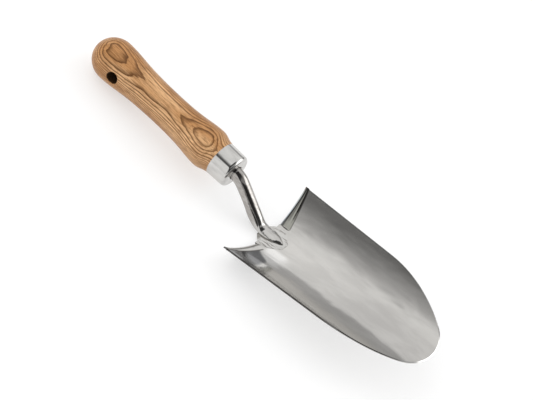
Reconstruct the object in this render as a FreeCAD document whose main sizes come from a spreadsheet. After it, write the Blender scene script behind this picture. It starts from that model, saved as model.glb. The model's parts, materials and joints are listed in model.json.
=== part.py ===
import FreeCAD, Part
import math
import os

from FreeCAD import Placement, Rotation, Vector

# Hand trowel with a turned ash grip, drawn ferrule, swan-neck steel shank and dished blade.
#
# Tool frame: X runs along the grip's axis from the butt end to the blade, Z points out of the
# blade's hollow side, Y completes the right-handed set.  Blade frame: X runs along the blade's
# spine from the root, Z is square to the spine, and Z = 0 is the underside of the sheet.
# The finished pieces are then laid as the tool rests on level ground, with the origin at the
# bottom centre of the whole tool's bounding box and +X towards the tip.

DRIVING = [
    # grip
    ("butt_dome", 17.0, "length of the domed butt"),
    ("butt_radius", 16.1, "radius at the palm swell"),
    ("palm_x", 38.0, "station between palm swell and waist"),
    ("palm_radius", 14.35, "radius there"),
    ("waist_x", 68.3, "station of the waist"),
    ("waist_radius", 13.0, "radius of the waist"),
    ("rise_x", 96.0, "station between waist and front swell"),
    ("rise_radius", 14.2, "radius there"),
    ("swell_x", 111.8, "station of the front swell"),
    ("swell_radius", 15.7, "radius of the front swell"),
    ("shoulder_x", 123.0, "end of the bare wood"),
    ("hole_x", 28.2, "hanging hole from the butt end"),
    ("hole_dia", 8.8, "hanging hole"),
    ("hole_clock", 8.0, "hanging hole turned about the grip's axis"),
    ("hole_round", 0.7, "rounded mouth of the hanging hole"),
    # ferrule
    ("ferrule_length", 15.6, "ferrule, end to end"),
    ("ferrule_rear", 13.25, "outside radius at the wood"),
    ("ferrule_front", 12.85, "outside radius at the front"),
    ("ferrule_wall", 0.9, "drawn wall"),
    ("ferrule_face", 1.35, "thickness of the drawn front face"),
    ("ferrule_round", 2.6, "rounded front corner"),
    ("ferrule_eye", 5.7, "radius of the hole that the shank leaves by"),
    # shank
    ("tang_dia", 8.0, "tang inside the grip"),
    ("bore_x", 40.0, "blind end of the tang bore"),
    ("bore_dia", 9.2, "tang bore in the grip"),
    ("tang_gap", 2.0, "blind end to the tang"),
    ("neck_top", 5.2, "neck radius at the ferrule"),
    ("neck_low", 4.8, "neck radius at the lower bend"),
    ("neck_slope", 41.6, "fall of the straight part of the neck"),
    ("upper_bend", 15.0, "centreline radius of the upper bend"),
    ("lower_bend", 9.0, "centreline radius of the lower bend"),
    ("foot_rise", 3.3, "centreline of the foot above the underside of the sheet"),
    ("foot_length", 17.5, "pointed foot beyond the lower bend"),
    ("foot_half", 5.0, "half width of the foot"),
    # blade
    ("root_x", 173.8, "blade root from the butt end"),
    ("root_drop", 28.9, "blade root below the grip's axis"),
    ("blade_pitch", 10.0, "spine against the grip's axis"),
    ("blade_length", 154.2, "root to tip along the spine"),
    ("sheet", 1.2, "sheet thickness"),
    ("dish_radius", 69.2, "inside radius of the trough"),
    ("ear_half", 43.4, "half width at the ears"),
    ("side_taper", 1.6, "taper of each straight side"),
    ("shoulder_radius", 112.0, "outline curve between side and nose"),
    ("nose_radius", 27.0, "outline curve of the nose"),
    ("bevel", 0.7, "ground edge round the nose"),
    ("root_cut", 6.0, "rear edge of the sheet at the spine"),
    ("tread_inner", 13.0, "inner end of each rolled tread from the spine"),
    ("crease_root", 15.0, "rear edge of the hollow face at the tread's inner end"),
    ("crease_ear", 4.8, "rear edge of the hollow face at the ear"),
    ("edge_root", 5.6, "rear edge of the tread at its inner end"),
    ("edge_ear", 1.9, "rear edge of the tread at the ear"),
    ("tread_drop", 2.7, "how far the tread's edge rolls below the hollow face"),
    ("tread_crown", 1.0, "height of the roll over the hollow face"),
    # weld
    ("weld_rear", 0.8, "rear end of the root weld along the spine"),
    ("weld_long", 22.0, "length of the root weld"),
    ("weld_wide", 11.0, "half width of the root weld at its widest"),
    ("weld_high", 2.6, "crown of the root weld over the hollow face"),
    ("weld_lip", 0.15, "height of the weld at its sides"),
    # rest
    ("rest_pitch", 4.65, "nose-up lean at which butt and treads both touch the ground"),
]

# Shape of the tread, as shares of its own sizes.
EDGE_SWEEP = 0.7  # power that sweeps the ears back
CREST_PLACE = 0.55  # crest of the roll, from the rear edge to the crease
EAR_CROWN = 0.35  # crown left at the ear

# Neck radius: share of its taper that is used up by the end of the upper bend.
BEND_TAPER = 0.4
UPPER_BEND_SHARES = (0.25, 0.5, 0.75, 1.0)

# Lower bend, hammered wider and flatter: share of the bend, half width, crown and keel as
# shares of the neck radius, and the section's roundness (2 is an ellipse).
LOWER_BEND_SECTIONS = (
    (0.5, 1.02, 0.85, 0.7, 1.9),
    (1.0, 1.08, 0.62, 0.5, 1.7),
)

# Pointed foot: share of its length, share of its half width, ridge height and roundness.
FOOT_SECTIONS = (
    (0.3, 1.0, 2.0, 1.5),
    (0.6, 0.78, 1.5, 1.35),
    (0.85, 0.4, 0.8, 1.3),
    (1.0, 0.06, 0.2, 1.3),
)

# Root weld: share of its length, of its half width and of its crown.
WELD_SECTIONS = (
    (0.0, 0.45, 0.7),
    (0.12, 0.72, 1.0),
    (0.3, 0.95, 1.0),
    (0.5, 1.0, 0.85),
    (0.75, 0.75, 0.5),
    (1.0, 0.3, 0.15),
)
WELD_FLANK = (1.0, 0.66, 0.33)  # points up each flank, as shares of the half width

SECTION_POINTS = 24
TREAD_STATIONS = 5
NOSE_START = 0.6  # share of the blade's length beyond which its edge is ground
OUTLINE_PASSES = 20  # enough for the outline's shoulder centre to settle
TOUCH = 0.01  # distance within which two places count as the same

doc = FreeCAD.newDocument("HandTrowel")
dims = doc.addObject("Spreadsheet::Sheet", "Dims")
for line, (alias, value, meaning) in enumerate(DRIVING, start=1):
    dims.set("A%d" % line, meaning)
    dims.set("B%d" % line, str(value))
    dims.setAlias("B%d" % line, alias)
doc.recompute()

X_AXIS = Vector(1, 0, 0)
Y_AXIS = Vector(0, 1, 0)
ALONG_X = Rotation(Y_AXIS, 90)


def size(alias):
    """A driving dimension, read back from the sheet."""
    return float(dims.get(alias))


def primitive(kind, name, place, **bound):
    """A Part primitive whose properties are expressions on the sheet."""
    piece = doc.addObject(kind, name)
    for prop, expression in bound.items():
        piece.setExpression(prop, expression)
    piece.Placement = place
    return piece


def feature(name, shape, place=None):
    """A Part::Feature holding a shape worked out from the sheet."""
    piece = doc.addObject("Part::Feature", name)
    piece.Shape = shape
    if place is not None:
        piece.Placement = place
    return piece


def boolean(kind, name, base, tool):
    """Cut or Common of two document objects."""
    piece = doc.addObject(kind, name)
    piece.Base = base
    piece.Tool = tool
    return piece


def fuse(name, pieces):
    """Union of document objects, with coplanar faces merged."""
    piece = doc.addObject("Part::MultiFuse", name)
    piece.Shapes = pieces
    piece.Refine = True
    return piece


def spline(points, first, last):
    """Smooth curve through points with given end directions."""
    curve = Part.BSplineCurve()
    curve.interpolate(Points=points, InitialTangent=first, FinalTangent=last)
    return curve.toShape()


def closed_spline(points):
    """Closed smooth curve through points."""
    curve = Part.BSplineCurve()
    curve.interpolate(Points=points, PeriodicFlag=True)
    return Part.Wire([curve.toShape()])


BLADE_FRAME = Placement(
    Vector(size("root_x"), 0, -size("root_drop")),
    Rotation(Y_AXIS, -size("blade_pitch")),
)
BLADE_UP = BLADE_FRAME.Rotation.multVec(Vector(0, 0, 1))
FERRULE_FRONT = size("shoulder_x") + size("ferrule_length")
SPIGOT_END = FERRULE_FRONT - size("ferrule_face")


# ---------------------------------------------------------------- grip

def handle_blank():
    """Turned profile: domed butt, palm swell, waist, front swell and the spigot in the ferrule."""
    dome = size("butt_dome")
    swell = Vector(size("swell_x"), 0, size("swell_radius"))
    shoulder = Vector(size("shoulder_x"), 0, size("ferrule_rear"))
    butt_top = Vector(dome, 0, size("butt_radius"))
    ellipse = Part.Ellipse(Vector(0, 0, 0), butt_top, Vector(dome, 0, 0))
    butt = Part.ArcOfEllipse(ellipse, 0, math.pi / 2).toShape()
    grip = spline(
        [
            butt_top,
            Vector(size("palm_x"), 0, size("palm_radius")),
            Vector(size("waist_x"), 0, size("waist_radius")),
            Vector(size("rise_x"), 0, size("rise_radius")),
            swell,
        ],
        X_AXIS,
        X_AXIS,
    )
    neck_in = spline([swell, shoulder], X_AXIS, X_AXIS)
    spigot = Part.makePolygon(
        [
            shoulder,
            Vector(shoulder.x, 0, size("ferrule_rear") - size("ferrule_wall")),
            Vector(SPIGOT_END, 0, size("ferrule_front") - size("ferrule_wall")),
            Vector(SPIGOT_END, 0, 0),
            Vector(0, 0, 0),
        ]
    )
    outline = Part.Wire(Part.__sortEdges__([butt, grip, neck_in] + spigot.Edges))
    return Part.Face(outline).revolve(Vector(0, 0, 0), X_AXIS, 360)


hole_tilt = Rotation(X_AXIS, 90 - size("hole_clock"))
hole_reach = 2 * size("butt_radius")
hole_start = Vector(size("hole_x"), 0, 0) - hole_tilt.multVec(Vector(0, 0, hole_reach))
hole_cutter = primitive(
    "Part::Cylinder",
    "hang_hole_cutter",
    Placement(hole_start, hole_tilt),
    Radius="Dims.hole_dia / 2",
    Height="4 * Dims.butt_radius",
)
bore_cutter = primitive(
    "Part::Cylinder",
    "tang_bore_cutter",
    Placement(Vector(size("bore_x"), 0, 0), ALONG_X),
    Radius="Dims.bore_dia / 2",
    Height="Dims.shoulder_x + Dims.ferrule_length - Dims.bore_x",
)
blank = feature("handle_blank", handle_blank())
bored = boolean("Part::Cut", "handle_bored", blank, bore_cutter)
drilled = boolean("Part::Cut", "handle_drilled", bored, hole_cutter)
doc.recompute()


def rim_edges(shape, centre, axis, radius):
    """Numbers of the curved edges where a round hole meets the surface."""
    found = []
    for number, edge in enumerate(shape.Edges, start=1):
        if edge.Length < radius:
            continue
        points = edge.discretize(9)
        reach = [(p - centre).cross(axis).Length for p in points]
        level = [(p - centre).dot(axis) for p in points]
        on_hole = max(abs(r - radius) for r in reach) < TOUCH
        if on_hole and max(level) - min(level) < radius:
            found.append(number)
    return found


handle = doc.addObject("Part::Fillet", "handle")
handle.Base = drilled
handle.Edges = [
    (number, size("hole_round"), size("hole_round"))
    for number in rim_edges(
        drilled.Shape,
        Vector(size("hole_x"), 0, 0),
        hole_tilt.multVec(Vector(0, 0, 1)),
        size("hole_dia") / 2,
    )
]


# ---------------------------------------------------------------- ferrule

ferrule_shell = primitive(
    "Part::Cone",
    "ferrule_shell",
    Placement(Vector(size("shoulder_x"), 0, 0), ALONG_X),
    Radius1="Dims.ferrule_rear",
    Radius2="Dims.ferrule_front",
    Height="Dims.ferrule_length",
)
doc.recompute()
ferrule_drawn = doc.addObject("Part::Fillet", "ferrule_drawn")
ferrule_drawn.Base = ferrule_shell
front_rim = [
    number
    for number, edge in enumerate(ferrule_shell.Shape.Edges, start=1)
    if abs(edge.BoundBox.XMin - FERRULE_FRONT) < TOUCH
]
ferrule_drawn.Edges = [(n, size("ferrule_round"), size("ferrule_round")) for n in front_rim]
ferrule_core = primitive(
    "Part::Cone",
    "ferrule_core",
    Placement(Vector(size("shoulder_x"), 0, 0), ALONG_X),
    Radius1="Dims.ferrule_rear - Dims.ferrule_wall",
    Radius2="Dims.ferrule_front - Dims.ferrule_wall",
    Height="Dims.ferrule_length - Dims.ferrule_face",
)
ferrule_eye = primitive(
    "Part::Cylinder",
    "ferrule_eye",
    Placement(Vector(size("shoulder_x"), 0, 0), ALONG_X),
    Radius="Dims.ferrule_eye",
    Height="2 * Dims.ferrule_length",
)
ferrule_cup = boolean("Part::Cut", "ferrule_cup", ferrule_drawn, ferrule_core)
ferrule = boolean("Part::Cut", "ferrule", ferrule_cup, ferrule_eye)


# ---------------------------------------------------------------- blade

def blade_outline():
    """Flat outline of the sheet: straight tapering sides, shoulder curves and a rounded nose."""
    taper = math.radians(size("side_taper"))
    shoulder = size("shoulder_radius")
    nose = size("nose_radius")
    nose_x = size("blade_length") - nose
    # the shoulder circle touches the side line from inside and holds the nose circle
    shoulder_x = nose_x
    for _ in range(OUTLINE_PASSES):
        shoulder_y = size("ear_half") - shoulder_x * math.tan(taper) - shoulder / math.cos(taper)
        shoulder_x = nose_x - math.sqrt((shoulder - nose) ** 2 - shoulder_y ** 2)
    lean = math.atan2(-shoulder_y, nose_x - shoulder_x)
    side = Vector(
        shoulder_x + shoulder * math.sin(taper), shoulder_y + shoulder * math.cos(taper), 0
    )
    join = Vector(nose_x + nose * math.cos(lean), nose * math.sin(lean), 0)
    turn = (lean + math.pi / 2 - taper) / 2
    middle = Vector(
        shoulder_x + shoulder * math.cos(turn), shoulder_y + shoulder * math.sin(turn), 0
    )
    ear = Vector(crease_x(size("ear_half")), size("ear_half"), 0)
    inner = Vector(crease_x(size("tread_inner")), size("tread_inner"), 0)
    root = Vector(size("root_cut"), size("tread_inner"), 0)
    mirror = [Vector(p.x, -p.y, 0) for p in (root, inner, ear, side, middle, join)]
    edges = [
        Part.makeLine(root, inner),
        Part.makeLine(inner, ear),
        Part.makeLine(ear, side),
        Part.Arc(side, middle, join).toShape(),
        Part.Arc(join, Vector(size("blade_length"), 0, 0), mirror[5]).toShape(),
        Part.Arc(mirror[5], mirror[4], mirror[3]).toShape(),
        Part.makeLine(mirror[3], mirror[2]),
        Part.makeLine(mirror[2], mirror[1]),
        Part.makeLine(mirror[1], mirror[0]),
        Part.makeLine(mirror[0], root),
    ]
    return Part.Face(Part.Wire(edges))


def between(low, high, share):
    """Straight blend from low to high."""
    return low + (high - low) * share


def tread_share(half):
    """How far along a tread, 0 at its inner end and 1 at the ear."""
    return (half - size("tread_inner")) / (size("ear_half") - size("tread_inner"))


def crease_x(half):
    """Where the rolled tread leaves the hollow face; it widens from the ear towards the spine."""
    return between(size("crease_root"), size("crease_ear"), tread_share(half))


def edge_x(half):
    """Rear edge of the tread; the ears are swept back a little."""
    return between(size("edge_root"), size("edge_ear"), tread_share(half) ** EDGE_SWEEP)


def tread_section(half):
    """One section of a rolled tread in the plane through the trough's own axis."""
    share = tread_share(half)
    fade = 1 - share ** 2
    front = crease_x(half)
    rear = edge_x(half)
    crown = size("tread_crown") * between(EAR_CROWN, 1, fade)
    crest = between(rear, front, CREST_PLACE)
    drop = size("tread_drop") * fade
    sheet = size("sheet")
    dish = size("dish_radius")
    lean = math.asin(half / dish)
    radial = Vector(0, math.sin(lean), -math.cos(lean))
    centre = Vector(0, 0, dish + sheet)

    def at(x, lift):
        return centre + X_AXIS * x + radial * (dish - lift)

    top = [at(front, 0), at(crest, crown), at(rear, -drop)]
    under = [at(rear, -drop - sheet), at(crest, crown - sheet), at(front, -sheet)]
    return Part.Wire(
        [
            Part.Arc(*top).toShape(),
            Part.makeLine(top[2], under[0]),
            Part.Arc(*under).toShape(),
            Part.makeLine(under[2], top[0]),
        ]
    )


def tread(side):
    """Rolled rear edge of the sheet on one side, from the root to the ear."""
    shares = [k / (TREAD_STATIONS - 1) for k in range(TREAD_STATIONS)]
    halves = [between(size("tread_inner"), size("ear_half"), share) for share in shares]
    roll = Part.makeLoft([tread_section(half) for half in halves], True, False)
    if side < 0:
        roll = roll.mirror(Vector(0, 0, 0), Y_AXIS)
    return roll


dish_height = size("dish_radius") + size("sheet")
dish_axis = BLADE_FRAME.multiply(Placement(Vector(0, 0, dish_height), ALONG_X))
dish_outside = primitive(
    "Part::Cylinder",
    "dish_outside",
    dish_axis,
    Radius="Dims.dish_radius + Dims.sheet",
    Height="1.05 * Dims.blade_length",
)
dish_inside = primitive(
    "Part::Cylinder",
    "dish_inside",
    dish_axis,
    Radius="Dims.dish_radius",
    Height="1.05 * Dims.blade_length",
)
trough = boolean("Part::Cut", "trough", dish_outside, dish_inside)
outline = feature("blade_outline", blade_outline(), BLADE_FRAME)
prism = doc.addObject("Part::Extrusion", "outline_prism")
prism.Base = outline
prism.DirMode = "Custom"
prism.Dir = BLADE_UP
prism.setExpression("LengthFwd", "Dims.dish_radius / 2")
prism.Solid = True
pressed = boolean("Part::Common", "pressed_sheet", trough, prism)
treads = [
    feature("tread_left", tread(1), BLADE_FRAME),
    feature("tread_right", tread(-1), BLADE_FRAME),
]
blade_blank = fuse("blade_blank", [pressed] + treads)
doc.recompute()
blade = doc.addObject("Part::Chamfer", "blade")
blade.Base = blade_blank
ground = []
for number, edge in enumerate(blade_blank.Shape.Edges, start=1):
    halfway = edge.valueAt((edge.FirstParameter + edge.LastParameter) / 2)
    middle = BLADE_FRAME.inverse().multVec(halfway)
    from_dish = math.hypot(middle.y, middle.z - dish_height)
    on_nose = middle.x > NOSE_START * size("blade_length")
    if on_nose and from_dish < size("dish_radius") + TOUCH:
        ground.append(number)
blade.Edges = [(number, size("bevel"), size("bevel")) for number in ground]


# ---------------------------------------------------------------- shank

def neck_path():
    """Centreline of the neck as (point, direction in degrees) at the ends of its runs."""
    fall = size("neck_slope")
    rise = size("blade_pitch")
    start = Vector(SPIGOT_END, 0, 0)
    upper = size("upper_bend")
    lower = size("lower_bend")
    fall_r = math.radians(fall)
    top = start + Vector(upper * math.sin(fall_r), 0, -upper * (1 - math.cos(fall_r)))
    # the straight run meets the foot's line, then the lower bend rounds that corner
    foot_line = BLADE_FRAME.multVec(Vector(0, 0, size("foot_rise")))
    rise_r = math.radians(rise)
    along = Vector(math.cos(fall_r), 0, -math.sin(fall_r))
    ahead = Vector(math.cos(rise_r), 0, math.sin(rise_r))
    gap = foot_line - top
    run = (gap.x * ahead.z - gap.z * ahead.x) / (along.x * ahead.z - along.z * ahead.x)
    tangent = lower * math.tan((fall_r + rise_r) / 2)
    return top, top + along * (run - tangent), top + along * run + ahead * tangent, ahead


def shank_section(point, slope, half, crown, keel, power):
    """Closed section square to the centreline: half wide, crown above it, keel below it."""
    square = Vector(-math.sin(math.radians(slope)), 0, math.cos(math.radians(slope)))
    points = []
    for k in range(SECTION_POINTS):
        turn = 2 * math.pi * k / SECTION_POINTS
        across = half * math.copysign(abs(math.cos(turn)) ** (2 / power), math.cos(turn))
        height = crown if math.sin(turn) >= 0 else keel
        up = height * math.copysign(abs(math.sin(turn)) ** (2 / power), math.sin(turn))
        points.append(point + Y_AXIS * across + square * up)
    return closed_spline(points)


def neck_solid():
    """Swan neck, flattened below into a pointed, ridged foot that lies in the trough."""
    top, low, heel, ahead = neck_path()
    fall = size("neck_slope")
    rise = size("blade_pitch")
    wide = size("neck_top")
    slim = size("neck_low")
    foot = size("foot_half")
    start = Vector(SPIGOT_END, 0, 0)
    sections = [(start, 0, wide, wide, wide, 2)]
    for share in UPPER_BEND_SHARES:
        turn = math.radians(fall * share)
        bend = Vector(math.sin(turn), 0, math.cos(turn) - 1) * size("upper_bend")
        radius = between(wide, slim, BEND_TAPER * share)
        sections.append((start + bend, -fall * share, radius, radius, radius, 2))
    for share in (0.5, 1.0):
        radius = between(wide, slim, between(BEND_TAPER, 1, share))
        sections.append((between(top, low, share), -fall, radius, radius, radius, 2))
    square = Vector(math.sin(math.radians(fall)), 0, math.cos(math.radians(fall)))
    centre = low + square * size("lower_bend")
    for share, half, crown, keel, power in LOWER_BEND_SECTIONS:
        slope = between(-fall, rise, share)
        turn = math.radians(slope)
        spot = centre + Vector(math.sin(turn), 0, -math.cos(turn)) * size("lower_bend")
        sections.append((spot, slope, half * slim, crown * slim, keel * slim, power))
    for share, half, crown, power in FOOT_SECTIONS:
        spot = heel + ahead * (size("foot_length") * share) - BLADE_UP * share ** 2
        sections.append((spot, rise, half * foot, crown, size("sheet"), power))
    return Part.makeLoft([shank_section(*station) for station in sections], True, False)


tang = primitive(
    "Part::Cylinder",
    "tang",
    Placement(Vector(size("bore_x") + size("tang_gap"), 0, 0), ALONG_X),
    Radius="Dims.tang_dia / 2",
    Height="Dims.shoulder_x + Dims.ferrule_length - Dims.bore_x - Dims.tang_gap",
)
forged = fuse("forged_bar", [tang, feature("neck", neck_solid())])
shank = boolean("Part::Cut", "shank", forged, blade)


# ---------------------------------------------------------------- weld and tang resin

def weld_section(share, wide, high):
    """One upright section of the weld: hollow flanks running up to a crown on the spine."""
    x = size("weld_rear") + size("weld_long") * share
    half = size("weld_wide") * wide
    crown = size("weld_high") * high
    dish = size("dish_radius")
    sheet = size("sheet")

    def at(across, lift):
        lean = math.asin(across / dish)
        reach = dish - lift
        return Vector(x, reach * math.sin(lean), dish + sheet - reach * math.cos(lean))

    lip = size("weld_lip")
    flank = [at(half * k, lip + crown * (1 - k) ** 2) for k in WELD_FLANK]
    top = flank + [at(0, crown + lip)] + [Vector(p.x, -p.y, p.z) for p in reversed(flank)]
    curve = Part.BSplineCurve()
    curve.interpolate(top)
    under = [at(half, -sheet), at(0, -sheet), at(-half, -sheet)]
    return Part.Wire(
        [
            curve.toShape(),
            Part.makeLine(top[-1], under[2]),
            Part.Arc(under[2], under[1], under[0]).toShape(),
            Part.makeLine(under[0], top[0]),
        ]
    )


def weld_solid():
    """Dressed weld that blends the foot of the shank into the trough."""
    return Part.makeLoft([weld_section(*station) for station in WELD_SECTIONS], True, False)


weld_bead = feature("weld_bead", weld_solid(), BLADE_FRAME)
weld_on_sheet = boolean("Part::Cut", "weld_on_sheet", weld_bead, blade)
root_weld = boolean("Part::Cut", "root_weld", weld_on_sheet, shank)

resin_fill = primitive(
    "Part::Cylinder",
    "resin_fill",
    Placement(Vector(size("bore_x"), 0, 0), ALONG_X),
    Radius="Dims.bore_dia / 2",
    Height="Dims.shoulder_x + Dims.ferrule_length - Dims.ferrule_face - Dims.bore_x",
)
tang_resin = boolean("Part::Cut", "tang_resin", resin_fill, tang)
doc.recompute()


# ---------------------------------------------------------------- rest and export

PIECES = {
    "handle": handle,
    "ferrule": ferrule,
    "shank": shank,
    "blade": blade,
    "root_weld": root_weld,
    "tang_resin": tang_resin,
}


def rest_placement():
    """Lean the tool back onto its butt and put the bounding box's bottom centre at the origin."""
    lean = Placement(Vector(0, 0, 0), Rotation(Y_AXIS, -size("rest_pitch")))
    box = None
    for piece in PIECES.values():
        leaning = piece.Shape.copy()
        leaning.Placement = lean.multiply(leaning.Placement)
        own = leaning.optimalBoundingBox(False)
        if box is None:
            box = own
        else:
            box.add(own)
    shift = Vector(-(box.XMin + box.XMax) / 2, -(box.YMin + box.YMax) / 2, -box.ZMin)
    return Placement(shift, Rotation()).multiply(lean)


REST = rest_placement()
nodes = []
for name, piece in PIECES.items():
    laid = doc.addObject("Part::Feature", name + "_laid")
    laid.Label = name
    laid.Shape = piece.Shape.Solids[0]
    laid.Placement = REST.multiply(laid.Shape.Placement)
    nodes.append((name, laid))
doc.recompute()

for thing in doc.Objects:
    if "Invalid" in thing.State or "Error" in thing.State:
        raise RuntimeError("%s failed: %s" % (thing.Name, thing.State))
for name, laid in nodes:
    shape = laid.Shape
    if shape.isNull() or not shape.isValid() or len(shape.Solids) != 1:
        raise RuntimeError("%s is not one valid solid" % name)

os.makedirs("parts", exist_ok=True)
for name, laid in nodes:
    laid.Shape.exportStep("parts/%s.step" % name)
    print("%-10s %9.1f mm3" % (name, laid.Shape.Volume))
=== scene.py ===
import json
import math

import bpy
from mathutils import Matrix, Vector

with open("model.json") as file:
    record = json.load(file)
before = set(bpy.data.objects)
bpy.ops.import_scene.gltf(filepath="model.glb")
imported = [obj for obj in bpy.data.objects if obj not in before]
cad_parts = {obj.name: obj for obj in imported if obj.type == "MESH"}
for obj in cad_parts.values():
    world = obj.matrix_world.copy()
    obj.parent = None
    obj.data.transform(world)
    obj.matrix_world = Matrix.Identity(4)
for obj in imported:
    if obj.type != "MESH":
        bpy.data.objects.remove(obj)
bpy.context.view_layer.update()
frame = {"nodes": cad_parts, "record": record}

# ---------------------------------------------------------------- places on the tool

MM = 1000.0  # millimetres in a metre
HANGING_HOLE = frame["record"]["mounts"][0]
HOLE = Vector(HANGING_HOLE["pos_m"])  # on the grip's axis
HOLE_RADIUS = HANGING_HOLE["dims"]["r_mm"]
GRIP_LEAN = 4.65  # degrees, grip's axis above the ground
TROUGH_ROOT = Vector((0.01322, 0.0, 0.0))  # metres, where the blade's spine starts
TROUGH_LEAN = 14.65  # degrees, blade's spine above the ground

# Along the grip's axis, in millimetres from the hanging hole.
FERRULE_FACE = 110.4
FOOT = 144.0

# In the trough's own frame, in millimetres from its root.
TROUGH_AXIS = 70.4  # height of the axis that the sheet is rolled round
TREAD_INNER = 13.0
EAR_HALF = 43.4
CREASE_ROOT = 15.0
CREASE_EAR = 4.8
TREAD_EDGE = 3.0  # rear edge of the tread, on average
SIDE_TAPER = math.radians(1.6)
SIDE_END = (82.4, 84.4)  # where the straight side gives way to the shoulder curve
SHOULDER_X = 80.3
SHOULDER_Y = -70.9
SHOULDER_RADIUS = 112.0


# ---------------------------------------------------------------- node helper

# Sockets of a colour mix node.
MIX_SHARE = 0
MIX_FIRST = 6
MIX_SECOND = 7
MIX_RESULT = 2

# Noise values from one end to the other of the range that most of them lie in.
USUAL = (0.3, 0.7)


class Graph:
    """Builds the nodes of one material or world."""

    def __init__(self, tree):
        self.tree = tree

    def add(self, kind, values=None, **settings):
        node = self.tree.nodes.new(kind)
        for name, value in settings.items():
            setattr(node, name, value)
        for socket, value in (values or {}).items():
            self.feed(node.inputs[socket], value)
        return node

    def feed(self, socket, value):
        if isinstance(value, bpy.types.NodeSocket):
            self.tree.links.new(value, socket)
        else:
            socket.default_value = value

    def math(self, operation, first, second=0.0):
        return self.add("ShaderNodeMath", {0: first, 1: second}, operation=operation).outputs[0]

    def product(self, first, *others):
        for other in others:
            first = self.math("MULTIPLY", first, other)
        return first

    def vector(self, operation, first, second=(0.0, 0.0, 0.0)):
        return self.add("ShaderNodeVectorMath", {0: first, 1: second}, operation=operation).outputs["Vector"]

    def dot(self, first, second):
        node = self.add("ShaderNodeVectorMath", {0: first, 1: second}, operation="DOT_PRODUCT")
        return node.outputs["Value"]

    def length(self, vector):
        return self.add("ShaderNodeVectorMath", {0: vector}, operation="LENGTH").outputs["Value"]

    def split(self, vector):
        return self.add("ShaderNodeSeparateXYZ", {0: vector}).outputs

    def between(self, value, low, high, to_low=0.0, to_high=1.0):
        """Value rescaled from low..high, eased and clamped."""
        node = self.add(
            "ShaderNodeMapRange",
            {"Value": value, "From Min": low, "From Max": high, "To Min": to_low, "To Max": to_high},
            interpolation_type="SMOOTHSTEP",
        )
        return node.outputs["Result"]

    def fading(self, value, low, high):
        """1 below low, easing to 0 at high."""
        return self.between(value, low, high, 1.0, 0.0)

    def noise(self, place, pitch, detail=2.0, rough=0.5, distortion=0.0):
        """Noise with its own frequency, per millimetre, along each axis."""
        node = self.add(
            "ShaderNodeTexNoise",
            {
                "Vector": self.vector("MULTIPLY", place, pitch),
                "Scale": 1.0,
                "Detail": detail,
                "Roughness": rough,
                "Distortion": distortion,
            },
        )
        return node.outputs["Fac"]

    def mix(self, share, first, second):
        """Blend of two colours, each a socket or linear (red, green, blue)."""
        node = self.add("ShaderNodeMix", {MIX_SHARE: share}, data_type="RGBA")
        for socket, colour in ((MIX_FIRST, first), (MIX_SECOND, second)):
            self.feed(node.inputs[socket], (*colour, 1.0) if isinstance(colour, tuple) else colour)
        return node.outputs[MIX_RESULT]

    def bump(self, height, strength, depth, under=None):
        """Normal of a relief whose full depth is in metres, laid on the normal under it."""
        values = {"Strength": strength, "Distance": depth, "Height": height}
        if under is not None:
            values["Normal"] = under
        return self.add("ShaderNodeBump", values).outputs["Normal"]

    def along(self, origin, lean):
        """Object coordinates in millimetres from origin, X along a line that rises by lean degrees."""
        turn = Matrix.Rotation(math.radians(lean), 3, "Y")
        start = turn @ (origin * -MM)
        place = self.add("ShaderNodeTexCoord")
        mapping = self.add(
            "ShaderNodeMapping",
            {
                "Vector": place.outputs["Object"],
                "Location": tuple(start),
                "Rotation": (0.0, math.radians(lean), 0.0),
                "Scale": (MM, MM, MM),
            },
            vector_type="POINT",
        )
        return mapping.outputs["Vector"]


def material(name, base, metallic=0.0, roughness=0.5, **uniform):
    """A material with its principled shader's uniform values set on the shader's own sockets."""
    made = bpy.data.materials.new(name)
    made.use_nodes = True
    shader = made.node_tree.nodes["Principled BSDF"]
    shader.inputs["Base Color"].default_value = (*base, 1.0)
    shader.inputs["Metallic"].default_value = metallic
    shader.inputs["Roughness"].default_value = roughness
    for socket, value in uniform.items():
        shader.inputs[socket.replace("_", " ")].default_value = value
    return made, shader, Graph(made.node_tree)


# ---------------------------------------------------------------- ash

LAYER_TURN = math.radians(111.0)  # growth layers, turned about the grip's axis
LAYER_GAP = 1.3  # millimetres from one layer to the next
LAYER_OFFSET = 20.0  # millimetres, places the layers in the grip
WANDER = 4.5  # millimetres that a layer strays slowly
WAVER = 1.1  # millimetres that it strays over short lengths
EARLY_FADE = (0.0, 0.50)  # shares of a layer over which its dark early wood fades
EARLY_START = (0.90, 1.0)
PORE_LEVELS = (0.52, 0.66)
PORE_STRENGTH = 0.65
FIBRE_LEVELS = (0.42, 0.70)
FIBRE_STRENGTH = 0.85
PATCHY_LEVELS = (0.30, 0.58)
PATCHY_STRENGTH = (0.70, 1.0)
# painted shade on the wall of the hanging hole
BORE_SHADE_COVER = 0.93
BORE_MARGIN = (0.05, 0.45)  # millimetres outside the hole's wall over which its dark fades
GRAIN_DEPTH = 0.00015  # metres

# Noise frequencies, per millimetre along and across the grip.
WANDER_PITCH = (0.012, 0.05, 0.05)
WAVER_PITCH = (0.06, 0.30, 0.30)
FIBRE_PITCH = (0.09, 1.5, 1.5)
PORE_PITCH = (0.25, 5.0, 5.0)
CLOUD_PITCH = (0.02, 0.09, 0.09)
PATCHY_PITCH = (0.012, 0.14, 0.14)

ASH_SHADE = (0.49, 0.240, 0.088)
ASH_LIGHT = (0.75, 0.450, 0.225)
ASH_EARLY = (0.115, 0.042, 0.008)
ASH_FIBRE = (0.18, 0.072, 0.018)
# painted shade on the wall of the hanging hole
ASH_PORE = (0.07, 0.03, 0.012)
ASH_BORE_SHADE = (0.02, 0.011, 0.006)


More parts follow.
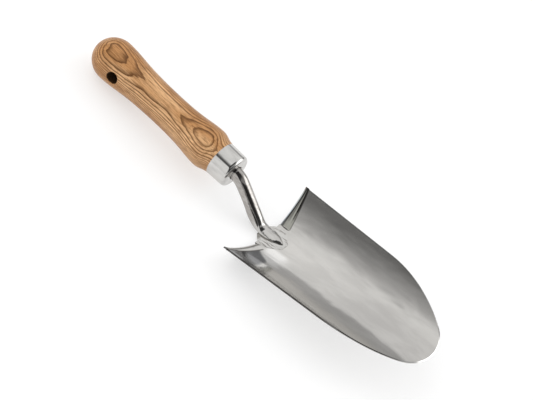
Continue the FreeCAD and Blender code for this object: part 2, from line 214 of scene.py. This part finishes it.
def ash_wood():
    """Lacquered ash, turned from a board: the growth layers lie nearly flat across the grip."""
    made, shader, g = material(
        "ash_wood",
        (0.43, 0.25, 0.12),
        roughness=0.42,
        Specular_IOR_Level=0.2,
        Coat_Weight=0.15,
        Coat_Roughness=0.15,
    )
    place = g.along(HOLE, GRIP_LEAN)
    x, y, z = g.split(place)

    # growth layers: a soft dark band of early wood in each
    wander = g.noise(place, WANDER_PITCH)
    waver = g.noise(place, WAVER_PITCH, detail=3.0)
    height = g.math("MULTIPLY", y, math.cos(LAYER_TURN))
    height = g.math("ADD", height, g.math("MULTIPLY", z, math.sin(LAYER_TURN)))
    height = g.math("ADD", height, g.math("MULTIPLY", wander, WANDER))
    height = g.math("ADD", height, g.math("MULTIPLY", waver, WAVER))
    layer = g.math("FRACT", g.math("DIVIDE", g.math("ADD", height, LAYER_OFFSET), LAYER_GAP))
    early = g.math("MAXIMUM", g.fading(layer, *EARLY_FADE), g.between(layer, *EARLY_START))

    # fibres and pores run along the grip, and the colour drifts
    fibre = g.noise(place, FIBRE_PITCH, detail=5.0, rough=0.7)
    pores = g.between(g.noise(place, PORE_PITCH, detail=1.0), *PORE_LEVELS)
    cloud = g.noise(place, CLOUD_PITCH, detail=1.0)
    strength = g.between(g.noise(place, PATCHY_PITCH), *PATCHY_LEVELS, *PATCHY_STRENGTH)

    tone = g.mix(g.between(cloud, *USUAL), ASH_SHADE, ASH_LIGHT)
    tone = g.mix(g.product(early, strength), tone, ASH_EARLY)
    tone = g.mix(g.between(fibre, *FIBRE_LEVELS, 0.0, FIBRE_STRENGTH), tone, ASH_FIBRE)
    tone = g.mix(g.product(pores, early, PORE_STRENGTH), tone, ASH_PORE)

    # painted shade: the wall of the hanging hole is darkened
    bore_axis = Matrix.Rotation(math.radians(GRIP_LEAN), 3, "Y") @ Vector(HANGING_HOLE["axis"])
    off_bore = g.length(g.vector("CROSS_PRODUCT", place, tuple(bore_axis)))
    inner, outer = (HOLE_RADIUS + margin for margin in BORE_MARGIN)
    tone = g.mix(g.between(off_bore, inner, outer, BORE_SHADE_COVER, 0.0), tone, ASH_BORE_SHADE)

    g.feed(shader.inputs["Base Color"], tone)
    g.feed(shader.inputs["Roughness"], g.between(fibre, 0.3, 0.8, 0.36, 0.52))
    relief = g.math("ADD", g.math("MULTIPLY", early, -0.5), g.math("MULTIPLY", pores, -0.5))
    g.feed(shader.inputs["Normal"], g.bump(relief, 0.3, GRAIN_DEPTH))
    return made


# ---------------------------------------------------------------- polished bar and ferrule

POLISH_BRIGHT = (0.62, 0.61, 0.59)
POLISH_HAZE = (0.52, 0.51, 0.495)
# darker tint of the forged neck: partly its forged finish, partly painted shade
FORGED_AND_SHADED = (0.34, 0.32, 0.30)
FORGED_START = (-0.5, 1.5)  # millimetres past the ferrule's face
FORGED_END = (-8.0, 0.0)  # millimetres past the start of the foot
FOOT_FORGED = 0.2  # how much of the forged look is left on the foot
HAMMERED_START = (-4.0, 4.0)  # millimetres past the start of the foot
STREAK_LEVELS = (0.35, 0.65)
STREAK_STRENGTH = (0.55, 1.0)
POLISH_ROUGHNESS = (0.05, 0.11)
LINE_ROUGHNESS = 0.04
LINE_DEPTH = 0.00005  # metres
DENT_DEPTH = 0.0006

# Noise frequencies, per millimetre along and across the grip.
HAZE_PITCH = (0.10, 0.25, 0.25)
LINE_PITCH = (0.12, 3.5, 3.5)
STREAK_PITCH = (0.05, 0.9, 0.9)
DENT_PITCH = (0.09, 0.16, 0.16)
HAMMER_PITCH = (0.32, 0.32, 0.32)


def polished_steel():
    """Polished stainless steel with faint haze and draw lines, darker and dented on the forged neck; its
    darker tint is partly the forged finish and partly painted shade.
    """
    made, shader, g = material("polished_steel", (0.58, 0.57, 0.56), metallic=1.0, roughness=0.08)
    place = g.along(HOLE, GRIP_LEAN)
    reach = g.split(place)[0]
    haze = g.noise(place, HAZE_PITCH, detail=3.0)
    lines = g.noise(place, LINE_PITCH)
    streaks = g.noise(place, STREAK_PITCH, detail=3.0, rough=0.6)
    past_face = g.math("SUBTRACT", reach, FERRULE_FACE)
    past_foot = g.math("SUBTRACT", reach, FOOT)
    forged = g.product(
        g.between(past_face, *FORGED_START), g.between(past_foot, *FORGED_END, 1.0, FOOT_FORGED)
    )

    rough = g.between(haze, *USUAL, *POLISH_ROUGHNESS)
    rough = g.math("ADD", rough, g.math("MULTIPLY", lines, LINE_ROUGHNESS))
    g.feed(shader.inputs["Roughness"], rough)
    tint = g.mix(g.between(haze, *USUAL), POLISH_BRIGHT, POLISH_HAZE)
    # darker neck: partly forged finish, partly painted shade
    tint = g.mix(g.product(forged, g.between(streaks, *STREAK_LEVELS, *STREAK_STRENGTH)), tint, FORGED_AND_SHADED)
    g.feed(shader.inputs["Base Color"], tint)

    dents = g.product(g.noise(place, DENT_PITCH, detail=1.0), forged)
    hammered = g.product(g.noise(place, HAMMER_PITCH, detail=1.0), g.between(past_foot, *HAMMERED_START))
    wavy = g.bump(g.math("ADD", dents, hammered), 0.5, DENT_DEPTH)
    g.feed(shader.inputs["Normal"], g.bump(lines, 0.05, LINE_DEPTH, wavy))
    return made


# ---------------------------------------------------------------- blade

SHEET_CLEAN = (0.65, 0.635, 0.61)
SHEET_SMEAR = (0.60, 0.588, 0.565)
SHEET_GRAIN = (0.46, 0.45, 0.435)
SHEET_WORN = (0.43, 0.418, 0.402)
# painted reflections on the near wall: a bright one, then a dark one
SHEET_BRIGHT_REFLECTION = (0.84, 0.83, 0.81)
SHEET_DARK_REFLECTION = (0.17, 0.172, 0.178)
# painted shade in the crease where each tread leaves the hollow face
CREASE_SHADE = (0.11, 0.10, 0.095)
# painted reflections and a painted highlight on the far tread
TREAD_DARK_REFLECTION = (0.30, 0.30, 0.265)
TREAD_BAND_REFLECTION = (0.05, 0.052, 0.056)
TREAD_HIGHLIGHT = (0.82, 0.93, 1.0)
# painted shade along the sides
RIM_SHADE = (0.07, 0.066, 0.062)
# painted highlight on the ground nose
NOSE_HIGHLIGHT = (0.74, 0.73, 0.71)
# painted shade on the cut edges
CUT_EDGE_SHADE = (0.12, 0.115, 0.11)

# Squareness to the trough's axis over which a face counts as cut edge or as ground edge.
CUT_LEVELS = (0.35, 0.75)
GROUND_LEVELS = (0.85, 0.96)

# Fades on the blade, in millimetres along x or across y from its root.
CREASE_FADE = (0.15, 0.8)
TREAD_FADE = (-0.3, 0.3)
TREAD_INNER_FADE = (TREAD_INNER - 0.5, TREAD_INNER + 0.5)
CREASE_INNER_FADE = (TREAD_INNER, TREAD_INNER + 2.0)
NEAR_WALL = (-9.0, -5.0)
FAR_SIDE = (0.0, 1.0)
# painted dark reflection on the near wall
DARK_REFLECTION_START = (-0.2, 0.4)  # past the crease
DARK_REFLECTION_END = (23.0, 28.0)
DARK_REFLECTION_SLOPE = 0.62  # its inner side runs outwards by this much per millimetre of x
DARK_REFLECTION_INNER = (6.0, 9.5)
# painted bright reflection on the near wall
BRIGHT_REFLECTION_START = (15.0, 21.0)
BRIGHT_REFLECTION_END = (28.0, 40.0)
BRIGHT_REFLECTION_OUTER = (21.0, 25.0)
PATCH_STRAY = 14.0  # how far the patches' outlines wander
WORN_LENGTH = (20.0, 120.0)
WORN_ACROSS = (4.0, 24.0)
# painted shade along the sides
RIM_WIDTH = (0.7, 1.5)
RIM_SIDES = (-1.0, 0.0)
RIM_END = (95.0, 118.0)
GROUND_START = (90.0, 120.0)
CUT_END = (100.0, 140.0)
TREAD_HIGHLIGHT_ACROSS = (22.0, 34.0)

# Bands of painted reflection and painted highlight on the far tread, as shares of the way from its crease to
# its rear edge.
BAND_START = (0.50, 0.60)
BAND_END = (0.72, 0.84)
TREAD_HIGHLIGHT_START = (0.70, 0.80)

# How strongly each finish covers what is under it, or from how much to how much.
GRAIN_COVER = (0.0, 0.25)
WORN_COVER = 0.55
MOTTLE_COVER = (-0.10, 0.22)
DARK_REFLECTION_COVER = 0.9
CREASE_SHADE_COVER = 0.85
TREAD_REFLECTION_COVER = 0.85
BAND_COVER = 0.9
TREAD_HIGHLIGHT_COVER = (1.0, 0.3)
RIM_COVER = 0.85
RIM_FAR_SHARE = 0.35
CUT_SHADE_COVER = 0.9

SMEAR_ROUGHNESS = (0.10, 0.17)
GRAIN_ROUGHNESS = (-0.03, 0.05)
POLISHED_SHARE = 0.5  # roughness left on edges and treads
GRAIN_LEVELS = (0.5, 0.8)
GRAIN_ROUGH_LEVELS = (0.35, 0.75)
MOTTLE_LEVELS = (0.35, 0.65)
SHEET_GRAIN_DEPTH = 0.00005  # metres
SHEET_WAVE_DEPTH = 0.0011

# Noise frequencies, per millimetre along and across the trough.
FLOW_PITCH = (0.08, 0.08, 0.08)
GRAIN_PITCH = (0.06, 2.4, 2.4)
SMEAR_PITCH = (0.015, 0.06, 0.06)
MOTTLE_PITCH = (0.03, 0.10, 0.10)
SHEET_WAVE_PITCH = (0.022, 0.05, 0.05)


def squareness(g, y, z):
    """How squarely the surface faces the trough's own axis: 1 on the sheet, 0 on its cut edge."""
    upright = g.add(
        "ShaderNodeMapping",
        {
            "Vector": g.add("ShaderNodeTexCoord").outputs["Normal"],
            "Rotation": (0.0, math.radians(TROUGH_LEAN), 0.0),
        },
        vector_type="VECTOR",
    ).outputs["Vector"]
    to_axis = g.add("ShaderNodeCombineXYZ", {"Y": y, "Z": g.math("SUBTRACT", z, TROUGH_AXIS)}).outputs[0]
    return g.math("ABSOLUTE", g.dot(upright, g.vector("NORMALIZE", to_axis)))


def inset_from_side(g, x, half):
    """Distance in from the blade's straight side and shoulder curve, in millimetres."""
    tapered = g.math("ADD", g.math("MULTIPLY", x, math.tan(SIDE_TAPER)), half)
    straight = g.math("SUBTRACT", EAR_HALF, tapered)
    spoke = g.add(
        "ShaderNodeCombineXYZ",
        {"X": g.math("SUBTRACT", x, SHOULDER_X), "Y": g.math("SUBTRACT", half, SHOULDER_Y)},
    )
    curved = g.math("SUBTRACT", SHOULDER_RADIUS, g.length(spoke.outputs[0]))
    share = g.between(x, *SIDE_END)
    return g.add("ShaderNodeMix", {"Factor": share, "A": straight, "B": curved}).outputs["Result"]


def satin_steel():
    """Satin stainless sheet, rolled lengthwise; its edges and rolled treads are polished."""
    made, shader, g = material("satin_steel", (0.60, 0.59, 0.57), metallic=1.0, roughness=0.17)
    place = g.along(TROUGH_ROOT, TROUGH_LEAN)
    x, y, z = g.split(place)
    half = g.math("ABSOLUTE", y)
    square = squareness(g, y, z)
    edge = g.fading(square, *CUT_LEVELS)

    # the crease where each tread leaves the hollow face
    crease = g.add(
        "ShaderNodeMapRange",
        {
            "Value": half,
            "From Min": TREAD_INNER,
            "From Max": EAR_HALF,
            "To Min": CREASE_ROOT,
            "To Max": CREASE_EAR,
        },
    ).outputs["Result"]
    past_crease = g.math("SUBTRACT", x, crease)
    on_tread = g.product(g.fading(past_crease, *TREAD_FADE), g.between(half, *TREAD_INNER_FADE))
    in_crease = g.product(
        g.fading(g.math("ABSOLUTE", past_crease), *CREASE_FADE), g.between(half, *CREASE_INNER_FADE)
    )

    # a painted dark reflection and a painted bright reflection on the near wall, behind the ear
    near_wall = g.fading(y, *NEAR_WALL)
    flow = g.math("SUBTRACT", g.noise(place, FLOW_PITCH, detail=1.0), 0.5)
    reach = g.math("ADD", x, g.math("MULTIPLY", flow, PATCH_STRAY))
    outward = g.math("SUBTRACT", half, g.math("MULTIPLY", reach, DARK_REFLECTION_SLOPE))
    painted_dark_reflection = g.product(
        g.between(past_crease, *DARK_REFLECTION_START),
        g.fading(reach, *DARK_REFLECTION_END),
        g.between(outward, *DARK_REFLECTION_INNER),
        near_wall,
    )
    # painted bright reflection on the near wall
    buffed = g.product(
        g.between(reach, *BRIGHT_REFLECTION_START),
        g.fading(reach, *BRIGHT_REFLECTION_END),
        g.fading(half, *BRIGHT_REFLECTION_OUTER),
        near_wall,
    )

    grain = g.noise(place, GRAIN_PITCH, detail=4.0, rough=0.65)
    smear = g.noise(place, SMEAR_PITCH, detail=3.0, distortion=0.6)
    mottle = g.noise(place, MOTTLE_PITCH, detail=3.0, rough=0.55, distortion=0.3)
    rough = g.between(smear, *USUAL, *SMEAR_ROUGHNESS)
    rough = g.math("ADD", rough, g.between(grain, *GRAIN_ROUGH_LEVELS, *GRAIN_ROUGHNESS))
    polished = g.between(g.math("MAXIMUM", edge, on_tread), 0.0, 1.0, 1.0, POLISHED_SHARE)
    g.feed(shader.inputs["Roughness"], g.product(rough, polished))

    tint = g.mix(g.between(smear, *USUAL), SHEET_CLEAN, SHEET_SMEAR)
    tint = g.mix(g.between(grain, *GRAIN_LEVELS, *GRAIN_COVER), tint, SHEET_GRAIN)
    towards_nose = g.product(g.between(y, *WORN_ACROSS, WORN_COVER, 0.0), g.between(x, *WORN_LENGTH))
    worn = g.math("ADD", towards_nose, g.between(mottle, *MOTTLE_LEVELS, *MOTTLE_COVER))
    tint = g.mix(g.math("MAXIMUM", worn, 0.0), tint, SHEET_WORN)
    # painted bright reflection, then painted dark reflection, on the near wall
    tint = g.mix(buffed, tint, SHEET_BRIGHT_REFLECTION)
    tint = g.mix(g.math("MULTIPLY", painted_dark_reflection, DARK_REFLECTION_COVER), tint, SHEET_DARK_REFLECTION)
    # painted shade darkens the crease
    tint = g.mix(g.math("MULTIPLY", in_crease, CREASE_SHADE_COVER), tint, CREASE_SHADE)

    # painted reflections on the far tread, in bands from its crease to its rear edge: a dark tint over it, a
    # darker band, and a blue-white painted highlight near its rear edge
    tread_width = g.math("SUBTRACT", crease, TREAD_EDGE)
    behind = g.math("DIVIDE", g.math("MULTIPLY", past_crease, -1.0), tread_width)
    far_tread = g.product(on_tread, g.between(y, *FAR_SIDE))
    tint = g.mix(g.math("MULTIPLY", far_tread, TREAD_REFLECTION_COVER), tint, TREAD_DARK_REFLECTION)
    band = g.product(g.between(behind, *BAND_START), g.fading(behind, *BAND_END))
    tint = g.mix(g.product(far_tread, band, BAND_COVER), tint, TREAD_BAND_REFLECTION)
    tread_highlight = g.product(g.between(behind, *TREAD_HIGHLIGHT_START), g.between(half, *TREAD_HIGHLIGHT_ACROSS, *TREAD_HIGHLIGHT_COVER))
    tint = g.mix(g.product(far_tread, tread_highlight), tint, TREAD_HIGHLIGHT)

    # painted shade: a dark line along the sides, stronger on the near one; painted highlight: the ground
    # nose is made bright
    painted_rim_shade = g.product(
        g.fading(inset_from_side(g, x, half), *RIM_WIDTH),
        g.between(y, *RIM_SIDES, 1.0, RIM_FAR_SHARE),
        g.between(x, *RIM_END, RIM_COVER, 0.0),
    )
    tint = g.mix(painted_rim_shade, tint, RIM_SHADE)
    # painted highlight on the ground nose
    ground = g.product(g.fading(square, *GROUND_LEVELS), g.between(x, *GROUND_START))
    tint = g.mix(ground, tint, NOSE_HIGHLIGHT)
    # painted shade on the cut edges, fading out towards the nose
    tint = g.mix(g.product(edge, g.between(x, *CUT_END, CUT_SHADE_COVER, 0.0)), tint, CUT_EDGE_SHADE)
    g.feed(shader.inputs["Base Color"], tint)

    wavy = g.bump(g.noise(place, SHEET_WAVE_PITCH, distortion=0.4), 0.6, SHEET_WAVE_DEPTH)
    g.feed(shader.inputs["Normal"], g.bump(grain, 0.10, SHEET_GRAIN_DEPTH, wavy))
    return made


# ---------------------------------------------------------------- weld and adhesive

WELD_HIGH = (0.66, 0.65, 0.63)
WELD_LOW = (0.56, 0.55, 0.53)
WELD_STREAK = (0.24, 0.225, 0.21)
RESIN_CLEAR = (0.58, 0.43, 0.22)
RESIN_CLOUD = (0.46, 0.32, 0.15)
WELD_STREAK_LEVELS = (0.52, 0.62)
WELD_STREAK_COVER = 0.8
SCUFF_LEVELS = (0.3, 0.75)
SCUFF_ROUGHNESS = (0.12, 0.26)
LUMP_DEPTH = 0.0007  # metres

# Noise frequencies, per millimetre along and across the trough, and the grip for the adhesive.
LUMP_PITCH = (0.14, 0.34, 0.34)
SCUFF_PITCH = (0.5, 3.0, 3.0)
WELD_STREAK_PITCH = (0.10, 0.75, 0.75)
RESIN_PITCH = (0.4, 0.4, 0.4)


def dressed_weld():
    """Weld ground smooth and buffed, with a little unevenness and a few dark streaks left in it."""
    made, shader, g = material("dressed_weld", (0.74, 0.73, 0.71), metallic=1.0, roughness=0.18)
    place = g.along(TROUGH_ROOT, TROUGH_LEAN)
    lumps = g.noise(place, LUMP_PITCH)
    scuff = g.noise(place, SCUFF_PITCH)
    streaks = g.noise(place, WELD_STREAK_PITCH, detail=3.0, rough=0.6, distortion=0.8)
    tint = g.mix(lumps, WELD_HIGH, WELD_LOW)
    tint = g.mix(g.between(streaks, *WELD_STREAK_LEVELS, 0.0, WELD_STREAK_COVER), tint, WELD_STREAK)
    g.feed(shader.inputs["Base Color"], tint)
    g.feed(shader.inputs["Roughness"], g.between(scuff, *SCUFF_LEVELS, *SCUFF_ROUGHNESS))
    g.feed(shader.inputs["Normal"], g.bump(lumps, 0.5, LUMP_DEPTH))
    return made


def hidden_resin():
    """Cured adhesive round the tang, seen only if the grip is taken off."""
    made, shader, g = material("resin", (0.55, 0.40, 0.20), roughness=0.45)
    cloud = g.noise(g.along(HOLE, GRIP_LEAN), RESIN_PITCH)
    g.feed(shader.inputs["Base Color"], g.mix(cloud, RESIN_CLEAR, RESIN_CLOUD))
    return made


def dress(node, finish):
    """Give a CAD node its finish."""
    mesh = frame["nodes"][node].data
    if mesh.materials:
        for index in range(len(mesh.materials)):
            mesh.materials[index] = finish
    else:
        mesh.materials.append(finish)


steel = polished_steel()
dress("handle", ash_wood())
dress("ferrule", steel)
dress("shank", steel)
dress("blade", satin_steel())
dress("root_weld", dressed_weld())
dress("tang_resin", hidden_resin())


# ---------------------------------------------------------------- stage and light

FLOOR_HALF = 3.0  # metres
FLOOR_WHITE = 0.5  # half of the floor's white is its own colour, and half its own glow

# The sky is a white tent. Its parts are given by the direction's own x, y and z, each from where the part
# starts to where it is complete, and a level is a brightness with 1 for the tent.
NEAR_SLOPE = 0.29  # the near side's lower edge leans by this much of x
NEAR_EDGE = (-0.74, -0.68)
FAR_EDGE = (-0.03, 0.28)
GAP_ALONG = (-0.55, -0.15)
GAP_REAR = (-0.45, 0.0)
GAP_REAR_LEVELS = (0.20, 0.50)
GAP_LEVEL = 0.05
GAP_FRONT = (0.25, 0.55)
GAP_FRONT_LEVEL = 0.42
NARROW_FROM = (-0.55, -0.35)
NARROW_TO = (-0.22, -0.08)
NARROW_SHIFT = 0.5
WIDE_FROM = (-0.2, -0.05)
WIDE_SHIFT = 0.15
SKIRT_TOP = (0.26, 0.34)
SKIRT_SIDE = (-0.1, 0.2)
SKIRT_LEVEL = 0.52

# Round spots in it: an aim, and the cosines of the angles from it over which the spot builds up.
FLAG_AIM = (0.78, -0.38, 0.50)
FLAG_SPREAD = (0.895, 0.94)
FLAG_TOP = (0.61, 0.69)
FLAG_LEVEL = 0.11
HORIZON_AIM = (0.36, 0.93, 0.03)
HORIZON_SPREAD = (0.93, 0.975)
HORIZON_LEVEL = 0.25
PANEL_AIM = (0.66, 0.65, 0.37)
PANEL_SPREAD = (0.84, 0.94)
PANEL_LEVEL = 1.6

# Soft lights: place and size in metres, power in watts.
SOFTBOXES = {
    "overhead": {"spot": (0.25, -0.55, 1.5), "size": 2.4, "watts": 13.0},
    "grip_side": {"spot": (-1.1, -0.3, 0.9), "size": 1.8, "watts": 8.0},
}


def floor():
    """Plain pale floor under the tool."""
    low, high = -FLOOR_HALF, FLOOR_HALF
    mesh = bpy.data.meshes.new("floor")
    mesh.from_pydata([(low, low, 0), (high, low, 0), (high, high, 0), (low, high, 0)], [], [(0, 1, 2, 3)])
    ground = bpy.data.objects.new("floor", mesh)
    bpy.context.scene.collection.objects.link(ground)
    pale = material(
        "pale_floor",
        (FLOOR_WHITE, FLOOR_WHITE, FLOOR_WHITE),
        roughness=0.9,
        Emission_Color=(1.0, 1.0, 1.0, 1.0),
        Emission_Strength=FLOOR_WHITE,
    )[0]
    mesh.materials.append(pale)


def sky():
    """White light tent with a dark gap overhead, a bright panel on one side and a dim far horizon."""
    world = bpy.data.worlds.new("tent")
    world.use_nodes = True
    bpy.context.scene.world = world
    g = Graph(world.node_tree)
    direction = g.add("ShaderNodeTexCoord").outputs["Generated"]
    x, y, z = g.split(direction)

    # the two sides of the tent, and the gap that runs between them
    near_side = g.fading(g.math("ADD", y, g.math("MULTIPLY", x, NEAR_SLOPE)), *NEAR_EDGE)
    gap = g.between(x, *GAP_ALONG, g.between(y, *GAP_REAR, *GAP_REAR_LEVELS), GAP_LEVEL)
    gap = g.math("MAXIMUM", gap, g.between(x, *GAP_FRONT, 0.0, GAP_FRONT_LEVEL))
    narrow = g.product(g.between(x, *NARROW_FROM, 0.0, NARROW_SHIFT), g.fading(x, *NARROW_TO))
    shift = g.math("SUBTRACT", narrow, g.between(x, *WIDE_FROM, 0.0, WIDE_SHIFT))
    far_side = g.between(g.math("ADD", y, shift), *FAR_EDGE, gap, 1.0)
    tent = g.math("MAXIMUM", near_side, far_side)

    # a black flag in the gap, a duller skirt on the near side, a dim spot on the far horizon, and a panel
    flag = g.product(g.between(g.dot(direction, FLAG_AIM), *FLAG_SPREAD), g.fading(z, *FLAG_TOP))
    flagged = g.between(flag, 0.0, 1.0, 1.0, FLAG_LEVEL)
    skirt = g.math("MAXIMUM", g.between(z, *SKIRT_TOP, SKIRT_LEVEL, 1.0), g.fading(y, *SKIRT_SIDE))
    dim = g.between(g.dot(direction, HORIZON_AIM), *HORIZON_SPREAD, 1.0, HORIZON_LEVEL)
    panel = g.between(g.dot(direction, PANEL_AIM), *PANEL_SPREAD, 0.0, PANEL_LEVEL)

    background = world.node_tree.nodes["Background"]
    g.feed(background.inputs["Color"], g.math("ADD", g.product(tent, flagged, skirt, dim), panel))
    background.inputs["Strength"].default_value = 1.0


def softbox(name, spot, size, watts):
    """Square soft light aimed at the middle of the tool."""
    lamp = bpy.data.lights.new(name, "AREA")
    lamp.size = size
    lamp.energy = watts
    box = bpy.data.objects.new(name, lamp)
    box.location = spot
    box.rotation_mode = "QUATERNION"
    box.rotation_quaternion = (-Vector(spot)).to_track_quat("-Z", "Y")
    box.visible_glossy = False
    bpy.context.scene.collection.objects.link(box)


# ---------------------------------------------------------------- camera

AZIMUTH = math.radians(18.26)
ELEVATION = math.radians(51.73)
ROLL = math.radians(31.36)
DISTANCE = 1.4911  # metres
TARGET = Vector((0.0028, 0.0073, 0.0201))
LENS = 144.88  # millimetres, on a sensor of the next width
SENSOR = 36.0


def camera():
    """Camera at the photograph's viewing angle, rolled so that the grip is at the upper left."""
    level = math.cos(ELEVATION)
    back = Vector((math.sin(AZIMUTH) * level, -math.cos(AZIMUTH) * level, math.sin(ELEVATION)))
    lens = bpy.data.cameras.new("camera")
    lens.lens = LENS
    lens.sensor_width = SENSOR
    lens.clip_start = 0.05
    lens.clip_end = 20.0
    eye = bpy.data.objects.new("camera", lens)
    upright = (-back).to_track_quat("-Z", "Y").to_matrix().to_4x4()
    stand = Matrix.Translation(TARGET + back * DISTANCE)
    eye.matrix_world = stand @ upright @ Matrix.Rotation(ROLL, 4, "Z")
    bpy.context.scene.collection.objects.link(eye)
    bpy.context.scene.camera = eye


floor()
sky()
for name, setting in SOFTBOXES.items():
    softbox(name, **setting)
camera()
bpy.context.scene.view_settings.view_transform = "Standard"
